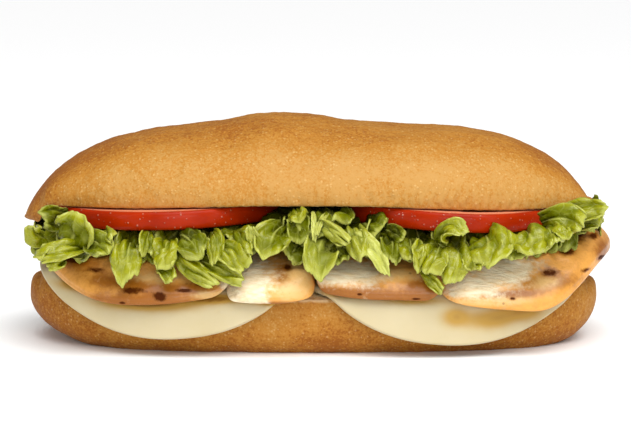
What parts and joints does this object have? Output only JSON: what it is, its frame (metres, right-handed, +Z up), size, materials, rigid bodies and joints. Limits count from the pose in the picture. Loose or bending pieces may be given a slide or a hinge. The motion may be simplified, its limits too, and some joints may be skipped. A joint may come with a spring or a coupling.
{
  "type": "submarine sandwich",
  "caption": "Long soft submarine roll filled with cheese slices, grilled chicken breast, torn green lettuce and tomato slices.",
  "frame": {"origin": "middle of the bounding box's underside, on the surface that the roll rests on", "axes": "+X along the roll, to the right in the shown view; +Z up; -Y towards the shown side"},
  "size_m": [0.18, 0.0974, 0.0689],
  "materials": {
    "bread": "matte baked crust, golden brown",
    "cheese": "smooth pale cream slice, satin",
    "chicken": "moist grilled meat, pale with tan and char spots",
    "tomato": "wet red skin and pink flesh",
    "lettuce": "moist green leaf, satin"
  },
  "bodies": {
    "root": {"bread_lower": "bread", "bread_upper": "bread", "cheese_left": "cheese", "cheese_right": "cheese", "chicken_1": "chicken", "chicken_2": "chicken", "chicken_3": "chicken", "chicken_4": "chicken", "tomato_left": "tomato", "tomato_right": "tomato", "lettuce": "lettuce"}
  },
  "joints": []
}
